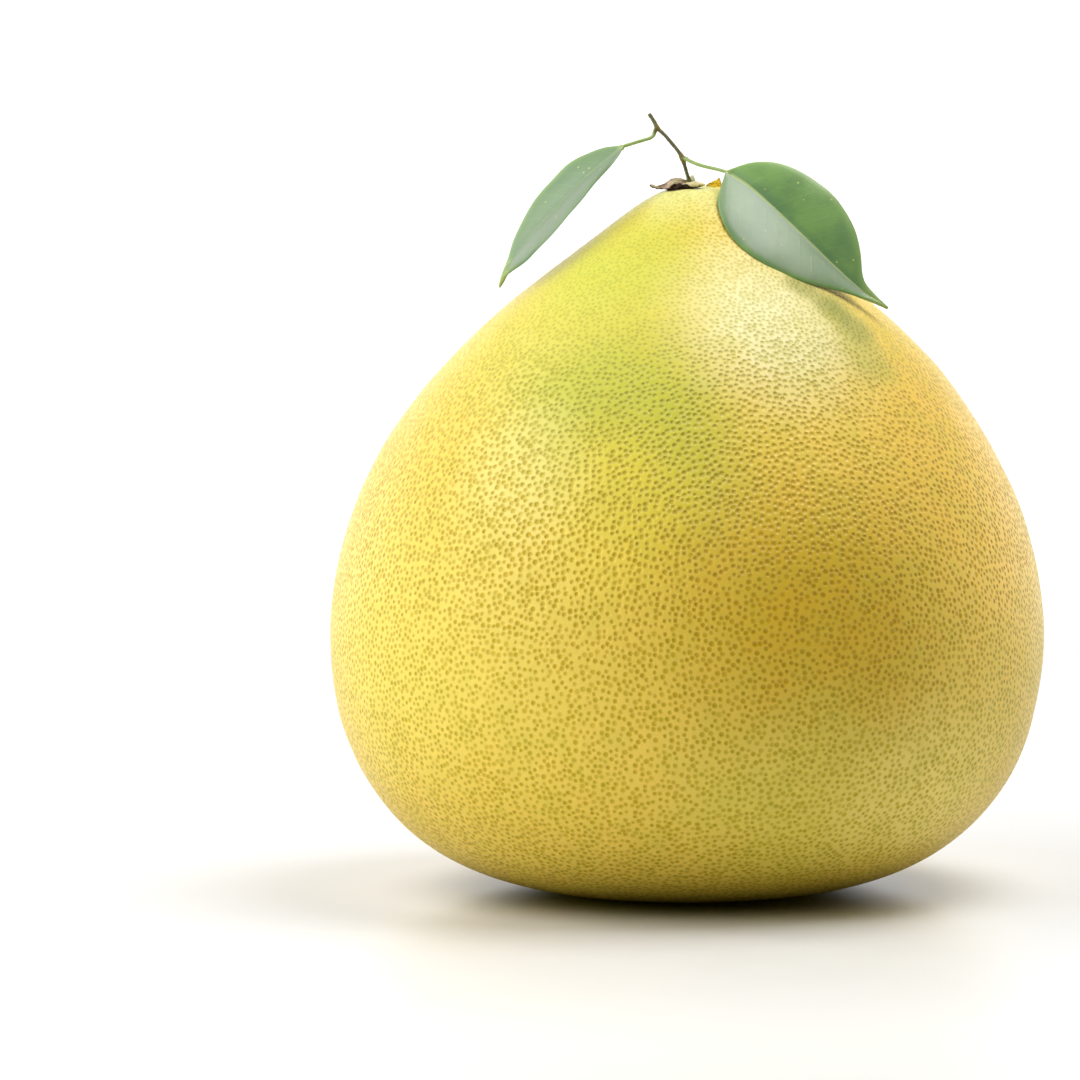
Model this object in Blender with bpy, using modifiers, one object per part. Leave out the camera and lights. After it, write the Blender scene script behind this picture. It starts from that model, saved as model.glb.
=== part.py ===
"""A pear-shaped pomelo with its dried calyx, a short forked twig and two leaves.

Metres, +Z up. The origin is the centre of the small flat spot the fruit rests on, and +Z runs up the
fruit to its crown.
"""

import math

import bmesh
import bpy
import numpy as np
from mathutils import Vector

MM = 0.001
COLLECTION = "pomelo"

# Fruit: radius and height (mm) of the points that guide its outline, crown to flat spot.
FRUIT_OUTLINE = (
    (0.0, 168.7),
    (3.5, 168.7),
    (6.2, 169.6),
    (14.5, 164.9),
    (23.0, 157.0),
    (36.0, 147.5),
    (58.0, 129.5),
    (78.5, 100.0),
    (87.0, 67.0),
    (83.0, 33.0),
    (65.0, 9.5),
    (38.0, 0.0),
    (19.0, 0.0),
    (16.0, 0.0),
    (0.0, 0.0),
)
FRUIT_RINGS = 40
FRUIT_STEPS = 64
CROWN_LEAN = 2.5
CROWN_START = 135.0
CROWN_TOP = 169.0
BELLY_HEIGHT = 62.0
BELLY_SPREAD = 48.0
BELLY_OVAL = 0.006
BELLY_THREE = 0.004
SHOULDER_HEIGHT = 138.0
SHOULDER_SPREAD = 20.0
SHOULDER_FIVE = 0.012

# Calyx: a woody button in the shallow dimple of the crown, scalloped by its broken lobes.
CALYX_CENTRE = (0.9, 0.5)
CALYX_OUTLINE = (
    (0.0, 170.35),
    (1.2, 170.35),
    (2.1, 170.15),
    (2.7, 169.85),
    (2.7, 169.5),
    (2.1, 169.25),
    (0.0, 169.25),
)
CALYX_STEPS = 40
CALYX_LOBES = 5
CALYX_LOBE_DEPTH = 0.16

# Bud: centre and half sizes (mm).
BUD_CENTRE = (1.2, 0.95, 171.4)
BUD_HALF = (0.55, 0.5, 0.75)
BUD_TILT = 12.0

# Twig: points up the stem with the radius at each (mm).
TWIG = (
    (0.2, 0.1, 170.85, 0.55),
    (0.0, 0.1, 171.4, 0.42),
    (-0.45, 0.1, 172.9, 0.36),
    (-0.95, 0.2, 174.6, 0.44),
    (-1.35, 0.4, 175.9, 0.68),
    (-2.3, 0.7, 177.5, 0.44),
    (-3.85, 1.1, 179.4, 0.38),
    (-5.4, 1.5, 181.2, 0.37),
    (-6.8, 1.9, 182.5, 0.42),
    (-7.5, 2.0, 183.3, 0.57),
    (-8.15, 2.2, 184.6, 0.38),
    (-9.4, 2.5, 186.5, 0.35),
)

# Leaves (mm): points along the stalk, then along the midrib from the foot to the drip tip; the two
# halves' directions at the foot, the middle and the tip; and their half widths at even steps down.
LEAF_THICK = 0.45
LEAF_ARCH = 0.05
STALK_HALF = 0.26
STALK_ROWS = 6
BLADE_ROWS = 14
LEFT_STALK = (
    (-8.05, 1.3, 182.1),
    (-8.3, 1.15, 181.4),
    (-9.0, 1.0, 180.8),
    (-10.2, 0.8, 180.4),
    (-13.4, 0.3, 179.5),
)
LEFT_MIDRIB = (
    (-15.4, 0.0, 178.9),
    (-20.0, -0.8, 175.2),
    (-25.5, -1.6, 170.5),
    (-31.0, -2.4, 164.7),
    (-36.0, -3.0, 159.5),
    (-40.3, -3.5, 154.0),
    (-43.2, -3.8, 149.8),
    (-45.2, -4.0, 145.4),
)
LEFT_UPPER = ((-0.30, 0.92, 0.30), (-0.40, 0.84, 0.40), (-0.40, 0.84, 0.36))
LEFT_LOWER = ((0.10, -0.99, -0.10), (0.19, -0.96, -0.19), (0.30, -0.90, -0.28))
LEFT_UPPER_WIDTHS = (0.4, 5.5, 8.2, 9.4, 9.4, 8.4, 6.8, 4.6, 2.3, 1.0, 0.3)
LEFT_LOWER_WIDTHS = (0.4, 5.0, 7.8, 9.3, 9.8, 9.8, 9.0, 7.0, 3.8, 1.2, 0.3)
RIGHT_STALK = (
    (-0.35, -0.3, 175.8),
    (0.1, -0.6, 175.5),
    (1.5, -1.2, 174.9),
    (3.8, -2.0, 174.2),
    (6.8, -2.8, 173.6),
)
RIGHT_MIDRIB = (
    (9.1, -3.4, 173.0),
    (14.4, -6.4, 169.8),
    (20.2, -9.4, 164.9),
    (27.3, -12.0, 158.4),
    (35.1, -13.4, 151.0),
    (41.5, -13.6, 145.4),
    (47.6, -13.2, 141.2),
)
RIGHT_UPPER = ((0.45, 0.30, 0.85), (0.62, 0.38, 0.68), (0.62, 0.35, 0.68))
RIGHT_LOWER = ((-0.62, -0.66, -0.42), (-0.50, -0.74, -0.45), (-0.42, -0.78, -0.46))
RIGHT_UPPER_WIDTHS = (0.4, 6.4, 10.2, 12.2, 13.4, 13.5, 11.8, 7.8, 2.9, 1.3, 0.3)
RIGHT_LOWER_WIDTHS = (0.4, 9.6, 12.8, 14.1, 14.1, 12.7, 10.2, 6.4, 3.3, 1.4, 0.3)

# Dried lobes of the calyx (mm), built like small blades.
SEPAL_THICK = 0.35
SEPAL_ROWS = 8
LEFT_SEPAL = (
    (-1.3, 0.2, 170.95),
    (-2.4, 0.0, 171.35),
    (-3.6, -0.3, 171.1),
    (-4.9, -0.6, 170.3),
    (-6.1, -0.8, 169.5),
    (-7.4, -0.8, 169.2),
    (-9.2, -0.7, 169.65),
)
LEFT_SEPAL_BACK = ((-0.05, 0.98, -0.20), (-0.10, 0.85, -0.52), (-0.20, 0.90, -0.35))
LEFT_SEPAL_FRONT = ((0.15, -0.85, -0.50), (-0.05, -0.62, -0.78), (-0.15, -0.90, -0.40))
LEFT_SEPAL_WIDTHS = (1.2, 1.8, 2.1, 1.9, 1.1, 0.5, 0.25)
RIGHT_SEPAL = (
    (4.6, 2.2, 169.95),
    (5.5, 3.1, 169.75),
    (6.3, 3.8, 169.9),
    (6.9, 4.3, 170.5),
    (7.1, 4.6, 171.2),
)
RIGHT_SEPAL_BACK = ((-0.45, 0.80, 0.10), (-0.72, 0.62, 0.20), (-0.70, 0.60, 0.20))
RIGHT_SEPAL_FRONT = ((0.50, -0.80, 0.00), (0.80, -0.58, -0.15), (0.70, -0.60, -0.20))
RIGHT_SEPAL_WIDTHS = (1.3, 1.9, 1.9, 1.2, 0.25)


def new_material(name, colour, roughness):
    """A Principled material of one colour."""
    material = bpy.data.materials.new(name)
    material.use_nodes = True
    shader = material.node_tree.nodes["Principled BSDF"]
    shader.inputs["Base Color"].default_value = (*colour, 1.0)
    shader.inputs["Roughness"].default_value = roughness
    shader.inputs["Metallic"].default_value = 0.0
    material.diffuse_color = (*colour, 1.0)
    return material


def add_object(name, mesh, material, location=(0.0, 0.0, 0.0)):
    """Links a mesh into the object's collection under the shared parent."""
    obj = bpy.data.objects.new(name, mesh)
    obj.location = location
    mesh.materials.append(material)
    bpy.data.collections[COLLECTION].objects.link(obj)
    obj.parent = bpy.data.objects["pomelo_origin"]
    return obj


def smooth_curve(points, count):
    """Evenly stepped points on the clamped cubic B-spline that the given points guide."""
    points = np.asarray(points, float)
    last = len(points) - 3
    knots = np.concatenate([[0.0] * 3, np.linspace(0.0, last, last + 1), [last] * 3])
    steps = np.linspace(0.0, last, count)
    weights = [((knots[i] <= steps) & (steps < knots[i + 1])).astype(float) for i in range(len(knots) - 1)]
    weights[len(points) - 1][-1] = 1.0
    for degree in range(1, 4):
        lower = weights
        weights = []
        for i in range(len(lower) - 1):
            left = knots[i + degree] - knots[i]
            right = knots[i + degree + 1] - knots[i + 1]
            value = np.zeros(count)
            if left > 0.0:
                value = value + (steps - knots[i]) / left * lower[i]
            if right > 0.0:
                value = value + (knots[i + degree + 1] - steps) / right * lower[i + 1]
            weights.append(value)
    return np.stack(weights[: len(points)], axis=1) @ points


def through_curve(points, count):
    """Evenly stepped points on a Catmull-Rom curve through the given points."""
    points = np.asarray(points, float)
    ends = np.vstack([2 * points[0] - points[1], points, 2 * points[-1] - points[-2]])
    where = np.linspace(0.0, len(points) - 1.0, count)
    out = []
    for u in where:
        i = min(int(u), len(points) - 2)
        t = u - i
        a, b, c, d = ends[i : i + 4]
        out.append(b + 0.5 * t * (c - a + t * (2 * a - 5 * b + 4 * c - d + t * (3 * (b - c) + d - a))))
    return np.array(out)


def turned_mesh(name, outline, steps):
    """Turns an outline, crown first and in mm, about Z."""
    mesh = bpy.data.meshes.new(name)
    corners = [(r * MM, 0.0, z * MM) for r, z in outline]
    mesh.from_pydata(corners, [(i, i + 1) for i in range(len(corners) - 1)], [])
    guide = bpy.data.objects.new(name + "_outline", mesh)
    bpy.context.scene.collection.objects.link(guide)
    screw = guide.modifiers.new("turn", "SCREW")
    screw.steps = steps
    screw.render_steps = steps
    screw.use_merge_vertices = True
    screw.merge_threshold = 0.00001
    bpy.context.view_layer.update()
    depsgraph = bpy.context.evaluated_depsgraph_get()
    turned = bpy.data.meshes.new_from_object(guide.evaluated_get(depsgraph))
    turned.name = name
    bpy.data.objects.remove(guide)
    bpy.data.meshes.remove(mesh)
    return turned


def bump(height, centre, spread):
    """One at the centre height, fading to nothing a few spreads away."""
    return math.exp(-(((height - centre) / spread) ** 2))


def natural_shape(x, y, z):
    """Moves a point (mm) of the turned fruit so it is slightly uneven, as grown."""
    angle = math.atan2(y, x)
    belly = bump(z, BELLY_HEIGHT, BELLY_SPREAD)
    shoulder = bump(z, SHOULDER_HEIGHT, SHOULDER_SPREAD)
    swell = 1.0 + belly * (BELLY_OVAL * math.cos(2 * angle) + BELLY_THREE * math.cos(3 * angle + 2.2))
    swell += shoulder * SHOULDER_FIVE * math.cos(5 * angle + 0.6)
    lean = max(0.0, (z - CROWN_START) / (CROWN_TOP - CROWN_START)) ** 2 * CROWN_LEAN
    return x * swell + lean, y * swell, z


def build_fruit():
    """The whole fruit as one turned, slightly uneven solid with its flat spot."""
    mesh = turned_mesh("fruit", smooth_curve(FRUIT_OUTLINE, FRUIT_RINGS), FRUIT_STEPS)
    for vertex in mesh.vertices:
        moved = natural_shape(vertex.co.x / MM, vertex.co.y / MM, vertex.co.z / MM)
        vertex.co = Vector(moved) * MM
    mesh.shade_smooth()
    skin = new_material("peel", (0.72, 0.60, 0.12), 0.38)
    add_object("fruit", mesh, skin)


def build_calyx():
    """The woody button, scalloped where its dried lobes have broken off."""
    mesh = turned_mesh("calyx", CALYX_OUTLINE, CALYX_STEPS)
    for vertex in mesh.vertices:
        angle = math.atan2(vertex.co.y, vertex.co.x)
        reach = 1.0 + CALYX_LOBE_DEPTH * math.cos(CALYX_LOBES * angle + 0.5)
        vertex.co.x *= reach
        vertex.co.y *= reach
    mesh.shade_smooth()
    husk = new_material("dry_husk", (0.42, 0.32, 0.16), 0.75)
    add_object("calyx", mesh, husk, (CALYX_CENTRE[0] * MM, CALYX_CENTRE[1] * MM, 0.0))


def build_bud():
    """The pale green nub beside the foot of the twig."""
    bm = bmesh.new()
    bmesh.ops.create_uvsphere(bm, u_segments=16, v_segments=10, radius=1.0)
    for vertex in bm.verts:
        taper = 1.0 - 0.30 * vertex.co.z
        vertex.co.x *= BUD_HALF[0] * MM * taper
        vertex.co.y *= BUD_HALF[1] * MM * taper
        vertex.co.z *= BUD_HALF[2] * MM
    mesh = bpy.data.meshes.new("bud")
    bm.to_mesh(mesh)
    bm.free()
    mesh.shade_smooth()
    green = new_material("bud_green", (0.55, 0.62, 0.30), 0.55)
    obj = add_object("bud", mesh, green, Vector(BUD_CENTRE) * MM)
    obj.rotation_euler = (0.0, math.radians(BUD_TILT), 0.0)


def build_twig():
    """The twig as one tapering tube with a thick fork, a node and a cut end."""
    data = bpy.data.curves.new("twig_path", "CURVE")
    data.dimensions = "3D"
    data.bevel_depth = MM
    data.bevel_resolution = 3
    data.use_fill_caps = True
    samples = 3 * (len(TWIG) - 1) + 1
    path = through_curve(TWIG, samples)
    spline = data.splines.new("POLY")
    spline.points.add(samples - 1)
    for corner, (x, y, z, radius) in zip(spline.points, path):
        corner.co = (x * MM, y * MM, z * MM, 1.0)
        corner.radius = radius
    guide = bpy.data.objects.new("twig_path", data)
    bpy.context.scene.collection.objects.link(guide)
    bpy.context.view_layer.update()
    depsgraph = bpy.context.evaluated_depsgraph_get()
    mesh = bpy.data.meshes.new_from_object(guide.evaluated_get(depsgraph))
    mesh.name = "twig"
    bpy.data.objects.remove(guide)
    bpy.data.curves.remove(data)
    bm = bmesh.new()
    bm.from_mesh(mesh)
    bmesh.ops.remove_doubles(bm, verts=bm.verts, dist=0.000001)
    bm.to_mesh(mesh)
    bm.free()
    mesh.materials.clear()
    mesh.shade_smooth()
    bark = new_material("bark", (0.20, 0.17, 0.06), 0.7)
    add_object("twig", mesh, bark)


def between(triple, t):
    """A unit direction at t, passing through the foot, middle and tip directions."""
    foot, middle, tip = (np.asarray(v, float) for v in triple)
    mixed = foot * (2 * t - 1) * (t - 1) + middle * 4 * t * (1 - t) + tip * t * (2 * t - 1)
    return mixed / np.linalg.norm(mixed)


def blade_rows(midrib, lower, upper, lower_widths, upper_widths, count):
    """Rows down a blade: middle, the two halves' directions and their half widths."""
    middles = through_curve(midrib, count)
    lower_half = through_curve([(w,) for w in lower_widths], count)[:, 0]
    upper_half = through_curve([(w,) for w in upper_widths], count)[:, 0]
    steps = np.linspace(0.0, 1.0, count)
    return [
        (middles[i], between(lower, t), between(upper, t), lower_half[i], upper_half[i])
        for i, t in enumerate(steps)
    ]


def stalk_rows(stalk, foot, lower, upper):
    """Rows down the narrow stalk, ending just before the blade's foot."""
    middles = through_curve(stalk + (foot,), STALK_ROWS)[:-1]
    return [(m, between(lower, 0.0), between(upper, 0.0), STALK_HALF, STALK_HALF) for m in middles]


def blade_cage(name, rows, arch):
    """An open sheet, five points across each row, whose halves arch a little towards the face."""
    bm = bmesh.new()
    middles = np.array([row[0] for row in rows])
    tangents = np.gradient(middles, axis=0)
    grid = []
    for (middle, lower, upper, lower_half, upper_half), tangent in zip(rows, tangents):
        facing = np.cross(tangent, upper - lower)
        facing = facing / np.linalg.norm(facing)
        if facing @ (upper + lower) < 0.0:
            facing = -facing
        line = []
        for s in (-1.0, -0.5, 0.0, 0.5, 1.0):
            side, half = (upper, upper_half) if s > 0 else (lower, lower_half)
            lift = arch * half * 4 * abs(s) * (1 - abs(s))
            line.append(bm.verts.new(Vector(middle + side * half * abs(s) + facing * lift) * MM))
        grid.append(line)
    for low, high in zip(grid, grid[1:]):
        for i in range(len(low) - 1):
            bm.faces.new((low[i], low[i + 1], high[i + 1], high[i]))
    bmesh.ops.recalc_face_normals(bm, faces=bm.faces)
    mesh = bpy.data.meshes.new(name)
    bm.to_mesh(mesh)
    bm.free()
    mesh.shade_smooth()
    return mesh


def add_blade(name, rows, arch, thick, material):
    """A thin solid from a cage: thickened, then rounded."""
    obj = add_object(name, blade_cage(name, rows, arch), material)
    shell = obj.modifiers.new("thickness", "SOLIDIFY")
    shell.thickness = thick * MM
    shell.offset = 0.0
    soft = obj.modifiers.new("soft", "SUBSURF")
    soft.levels = 1
    soft.render_levels = 1
    return obj


def build_leaves():
    """Both leaves, each with its stalk and blade in one piece."""
    green = new_material("leaf_green", (0.13, 0.28, 0.08), 0.4)
    rows = stalk_rows(LEFT_STALK, LEFT_MIDRIB[0], LEFT_LOWER, LEFT_UPPER)
    rows += blade_rows(
        LEFT_MIDRIB, LEFT_LOWER, LEFT_UPPER, LEFT_LOWER_WIDTHS, LEFT_UPPER_WIDTHS, BLADE_ROWS
    )
    add_blade("leaf_left", rows, LEAF_ARCH, LEAF_THICK, green)
    rows = stalk_rows(RIGHT_STALK, RIGHT_MIDRIB[0], RIGHT_LOWER, RIGHT_UPPER)
    rows += blade_rows(
        RIGHT_MIDRIB, RIGHT_LOWER, RIGHT_UPPER, RIGHT_LOWER_WIDTHS, RIGHT_UPPER_WIDTHS, BLADE_ROWS
    )
    add_blade("leaf_right", rows, LEAF_ARCH, LEAF_THICK, green)


def build_sepals():
    """The two calyx lobes that are still there."""
    papery = new_material("papery_brown", (0.45, 0.30, 0.16), 0.8)
    rows = blade_rows(
        LEFT_SEPAL, LEFT_SEPAL_FRONT, LEFT_SEPAL_BACK, LEFT_SEPAL_WIDTHS, LEFT_SEPAL_WIDTHS, SEPAL_ROWS
    )
    add_blade("sepal_left", rows, 0.0, SEPAL_THICK, papery)
    golden = new_material("golden_husk", (0.62, 0.40, 0.05), 0.6)
    rows = blade_rows(
        RIGHT_SEPAL, RIGHT_SEPAL_FRONT, RIGHT_SEPAL_BACK, RIGHT_SEPAL_WIDTHS, RIGHT_SEPAL_WIDTHS, SEPAL_ROWS
    )
    add_blade("sepal_right", rows, 0.0, SEPAL_THICK, golden)


def main():
    for obj in list(bpy.data.objects):
        bpy.data.objects.remove(obj)
    collection = bpy.data.collections.new(COLLECTION)
    bpy.context.scene.collection.children.link(collection)
    origin = bpy.data.objects.new("pomelo_origin", None)
    collection.objects.link(origin)
    build_fruit()
    build_calyx()
    build_sepals()
    build_bud()
    build_twig()
    build_leaves()


main()
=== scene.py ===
"""Finished look of the pomelo: skin with oil glands, dried calyx, twig and leaves, in studio light."""

import math

import bpy
import numpy as np
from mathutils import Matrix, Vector, kdtree, noise


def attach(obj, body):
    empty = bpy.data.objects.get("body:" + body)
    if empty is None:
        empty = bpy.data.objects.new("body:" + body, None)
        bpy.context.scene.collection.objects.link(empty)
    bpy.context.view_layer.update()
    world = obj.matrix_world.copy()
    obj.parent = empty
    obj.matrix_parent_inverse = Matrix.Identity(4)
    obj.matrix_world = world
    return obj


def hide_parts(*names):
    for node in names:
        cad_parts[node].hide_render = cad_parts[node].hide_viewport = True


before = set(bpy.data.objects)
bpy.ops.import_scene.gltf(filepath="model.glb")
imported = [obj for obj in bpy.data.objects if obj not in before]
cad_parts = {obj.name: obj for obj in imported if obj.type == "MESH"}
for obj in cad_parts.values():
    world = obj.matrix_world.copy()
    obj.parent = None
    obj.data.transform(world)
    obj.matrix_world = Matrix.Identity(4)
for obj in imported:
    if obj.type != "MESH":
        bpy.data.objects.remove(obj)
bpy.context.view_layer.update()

MM = 0.001
UPWARD = np.array([0.0, 0.0, 1.0])

# ---------------------------------------------------------------- camera and stage

VIEW_ELEVATION = math.radians(6.5)
VIEW_TARGET = Vector((-0.0355, 0.0, 0.0840))
VIEW_DISTANCE = 5.0
VIEW_WIDTH = 0.2592
FAR_CLIP = 50.0
LIGHT_TARGET = Vector((0.0, 0.0, 0.09))
# Strengths of the world: what the camera sees, the low white sweep and the room above it.
SEEN_WHITE = 1.05
SWEEP_FRONT = 0.35
SWEEP_BACK = 2.5
ROOM_FRONT = 0.0
ROOM_BACK = 0.60
# The floor's square reaches this far each way, in metres.
FLOOR_REACH = 6.0
# The floor is satin round the fruit and glossy far behind it. The satin part is a disc (m).
SATIN_MIDDLE = (0.0, -0.8, 0.0)
SATIN_EDGE = 1.25
GLOSS_START = 1.52


def look_at(obj, target):
    obj.rotation_euler = (target - obj.location).to_track_quat("-Z", "Y").to_euler()


def add_camera():
    data = bpy.data.cameras.new("camera")
    data.lens = data.sensor_width * VIEW_DISTANCE / VIEW_WIDTH
    data.clip_end = FAR_CLIP
    camera = bpy.data.objects.new("camera", data)
    away = Vector((0.0, -math.cos(VIEW_ELEVATION), math.sin(VIEW_ELEVATION)))
    camera.location = VIEW_TARGET + away * VIEW_DISTANCE
    look_at(camera, VIEW_TARGET)
    bpy.context.scene.collection.objects.link(camera)
    bpy.context.scene.camera = camera


def add_softbox(name, direction, distance, width, height, power):
    """A white area light that faces the fruit and isn't seen by the camera."""
    data = bpy.data.lights.new(name, "AREA")
    data.shape = "RECTANGLE"
    data.size = width
    data.size_y = height
    data.energy = power
    light = bpy.data.objects.new(name, data)
    light.location = LIGHT_TARGET + Vector(direction).normalized() * distance
    look_at(light, LIGHT_TARGET)
    light.visible_camera = False
    bpy.context.scene.collection.objects.link(light)


def add_world():
    """White to the camera. To light and reflections, a bright low sweep behind and a dim room in front."""
    world = bpy.data.worlds.new("studio")
    bpy.context.scene.world = world
    world.use_nodes = True
    tree = world.node_tree
    tree.nodes.clear()
    out = tree.nodes.new("ShaderNodeOutputWorld")
    seen = tree.nodes.new("ShaderNodeBackground")
    seen.inputs["Color"].default_value = (1.0, 1.0, 1.0, 1.0)
    seen.inputs["Strength"].default_value = SEEN_WHITE
    room = tree.nodes.new("ShaderNodeBackground")
    coords = tree.nodes.new("ShaderNodeTexCoord")
    split = tree.nodes.new("ShaderNodeSeparateXYZ")
    tree.links.new(coords.outputs["Generated"], split.inputs[0])

    def ramp(source, low, high, to_low, to_high):
        node = tree.nodes.new("ShaderNodeMapRange")
        node.interpolation_type = "SMOOTHSTEP"
        tree.links.new(source, node.inputs[0])
        for socket, value in zip(node.inputs[1:], (low, high)):
            socket.default_value = value
        for socket, value in zip(node.inputs[3:], (to_low, to_high)):
            if isinstance(value, float):
                socket.default_value = value
            else:
                tree.links.new(value, socket)
        return node.outputs[0]

    depth = ramp(split.outputs["Y"], -0.8, 0.7, ROOM_FRONT, ROOM_BACK)
    sweep = ramp(split.outputs["Y"], -0.6, 0.3, SWEEP_FRONT, SWEEP_BACK)
    level = ramp(split.outputs["Z"], 0.14, 0.30, sweep, depth)
    tree.links.new(level, room.inputs["Strength"])
    path = tree.nodes.new("ShaderNodeLightPath")
    mix = tree.nodes.new("ShaderNodeMixShader")
    tree.links.new(path.outputs["Is Camera Ray"], mix.inputs[0])
    tree.links.new(room.outputs[0], mix.inputs[1])
    tree.links.new(seen.outputs[0], mix.inputs[2])
    tree.links.new(mix.outputs[0], out.inputs["Surface"])


def add_floor():
    """A white table, greyer within 30 cm of the fruit, with a painted contact shadow in olive close to
    where the fruit stands.
    """
    mesh = bpy.data.meshes.new("floor")
    corners = [(FLOOR_REACH * x, FLOOR_REACH * y, 0.0) for x, y in ((-1, -1), (1, -1), (1, 1), (-1, 1))]
    mesh.from_pydata(corners, [], [(0, 1, 2, 3)])
    floor = bpy.data.objects.new("floor", mesh)
    bpy.context.scene.collection.objects.link(floor)
    look = Look("white_table")
    grain = look.noise(scale=40.0, detail=2.0)
    away = look.vector("LENGTH", look.place())
    near = look.mix(grain, (0.76, 0.76, 0.76, 1.0), (0.80, 0.80, 0.80, 1.0))
    pale = look.mix(look.remap(away, 0.11, 0.30), near, (0.95, 0.95, 0.95, 1.0))
    # Painted contact shadow: the colour turns dark olive within 8 cm of where the fruit stands.
    look.put("Base Color", look.mix(look.remap(away, 0.078, 0.035), pale, (0.22, 0.19, 0.02, 1.0)))
    outward = look.vector("DISTANCE", look.place(), SATIN_MIDDLE)
    satin = look.remap(away, 0.04, 0.16, 0.24, 0.32)
    satin = look.math("MULTIPLY", satin, look.remap(outward, SATIN_EDGE, GLOSS_START, 1.0, 0.0))
    look.put("Roughness", look.math("ADD", look.remap(grain, 0.3, 0.7, 0.07, 0.08), satin))
    mesh.materials.append(look.material)


# ---------------------------------------------------------------- material helper


class Look:
    """One Principled material's nodes. An input takes a number, a colour or another node's output."""

    def __init__(self, name):
        self.material = bpy.data.materials.new(name)
        self.material.use_nodes = True
        self.tree = self.material.node_tree
        self.tree.nodes.clear()
        out = self.tree.nodes.new("ShaderNodeOutputMaterial")
        self.shader = self.tree.nodes.new("ShaderNodeBsdfPrincipled")
        self.tree.links.new(self.shader.outputs[0], out.inputs["Surface"])

    def feed(self, socket, value):
        if isinstance(value, bpy.types.NodeSocket):
            self.tree.links.new(value, socket)
        elif value is not None:
            socket.default_value = value

    def put(self, name, value):
        """Feeds one of the shader's inputs."""
        self.feed(self.shader.inputs[name], value)

    def place(self):
        """The point's place on the object, in metres."""
        return self.tree.nodes.new("ShaderNodeTexCoord").outputs["Object"]

    def attribute(self, name, output="Fac"):
        node = self.tree.nodes.new("ShaderNodeAttribute")
        node.attribute_name = name
        return node.outputs[output]

    def math(self, operation, a, b=None, c=None):
        node = self.tree.nodes.new("ShaderNodeMath")
        node.operation = operation
        for socket, value in zip(node.inputs, (a, b, c)):
            self.feed(socket, value)
        return node.outputs[0]

    def vector(self, operation, a, b=None):
        node = self.tree.nodes.new("ShaderNodeVectorMath")
        node.operation = operation
        self.feed(node.inputs[0], a)
        self.feed(node.inputs[1], b)
        return node.outputs["Value" if operation in ("DISTANCE", "LENGTH", "DOT_PRODUCT") else "Vector"]

    def split(self, value):
        node = self.tree.nodes.new("ShaderNodeSeparateXYZ")
        self.feed(node.inputs[0], value)
        return node.outputs

    def mix(self, factor, a, b, blend="MIX"):
        node = self.tree.nodes.new("ShaderNodeMix")
        node.data_type = "RGBA"
        node.blend_type = blend
        self.feed(node.inputs[0], factor)
        self.feed(node.inputs[6], a)
        self.feed(node.inputs[7], b)
        return node.outputs[2]

    def remap(self, value, low, high, to_low=0.0, to_high=1.0, smooth=True):
        node = self.tree.nodes.new("ShaderNodeMapRange")
        node.interpolation_type = "SMOOTHSTEP" if smooth else "LINEAR"
        for socket, number in zip(node.inputs, (value, low, high, to_low, to_high)):
            self.feed(socket, number)
        return node.outputs[0]

    def noise(self, scale, detail=3.0, roughness=0.5, place=None, distortion=0.0):
        node = self.tree.nodes.new("ShaderNodeTexNoise")
        self.feed(node.inputs["Vector"], place if place is not None else self.place())
        node.inputs["Scale"].default_value = scale
        node.inputs["Detail"].default_value = detail
        node.inputs["Roughness"].default_value = roughness
        node.inputs["Distortion"].default_value = distortion
        return node.outputs["Fac"]

    def random(self, value):
        """Three random numbers that stay the same for the same place."""
        node = self.tree.nodes.new("ShaderNodeTexWhiteNoise")
        node.noise_dimensions = "3D"
        self.feed(node.inputs["Vector"], value)
        return self.split(node.outputs["Color"])

    def bump(self, height, depth, normal=None):
        """Relief of the given depth (m), over the normal given."""
        node = self.tree.nodes.new("ShaderNodeBump")
        node.inputs["Distance"].default_value = depth
        self.feed(node.inputs["Height"], height)
        self.feed(node.inputs["Normal"], normal)
        return node.outputs[0]


# ---------------------------------------------------------------- curves


def smooth_curve(points, count):
    """Evenly stepped points on the clamped cubic B-spline that the given points guide."""
    points = np.asarray(points, float)
    last = len(points) - 3
    knots = np.concatenate([[0.0] * 3, np.linspace(0.0, last, last + 1), [last] * 3])
    steps = np.linspace(0.0, last, count)
    weights = [((knots[i] <= steps) & (steps < knots[i + 1])).astype(float) for i in range(len(knots) - 1)]
    weights[len(points) - 1][-1] = 1.0
    for degree in range(1, 4):
        lower = weights
        weights = []
        for i in range(len(lower) - 1):
            left = knots[i + degree] - knots[i]
            right = knots[i + degree + 1] - knots[i + 1]
            value = np.zeros(count)
            if left > 0.0:
                value = value + (steps - knots[i]) / left * lower[i]
            if right > 0.0:
                value = value + (knots[i + degree + 1] - steps) / right * lower[i + 1]
            weights.append(value)
    return np.stack(weights[: len(points)], axis=1) @ points


def through_curve(points, where):
    """Points on a Catmull-Rom curve through the given points, at places from 0 to 1."""
    points = np.asarray(points, float)
    ends = np.vstack([2 * points[0] - points[1], points, 2 * points[-1] - points[-2]])
    u = np.asarray(where) * (len(points) - 1)
    i = np.minimum(u.astype(int), len(points) - 2)
    t = (u - i)[:, None]
    a, b, c, d = ends[i], ends[i + 1], ends[i + 2], ends[i + 3]
    return b + 0.5 * t * (c - a + t * (2 * a - 5 * b + 4 * c - d + t * (3 * (b - c) + d - a)))


def smoothstep(value, low, high):
    """0 up to low and 1 from high on, with a smooth rise between."""
    t = np.clip((value - low) / (high - low), 0.0, 1.0)
    return t * t * (3 - 2 * t)


def unit(vectors):
    return vectors / np.maximum(np.linalg.norm(vectors, axis=-1, keepdims=True), 1e-12)


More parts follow.
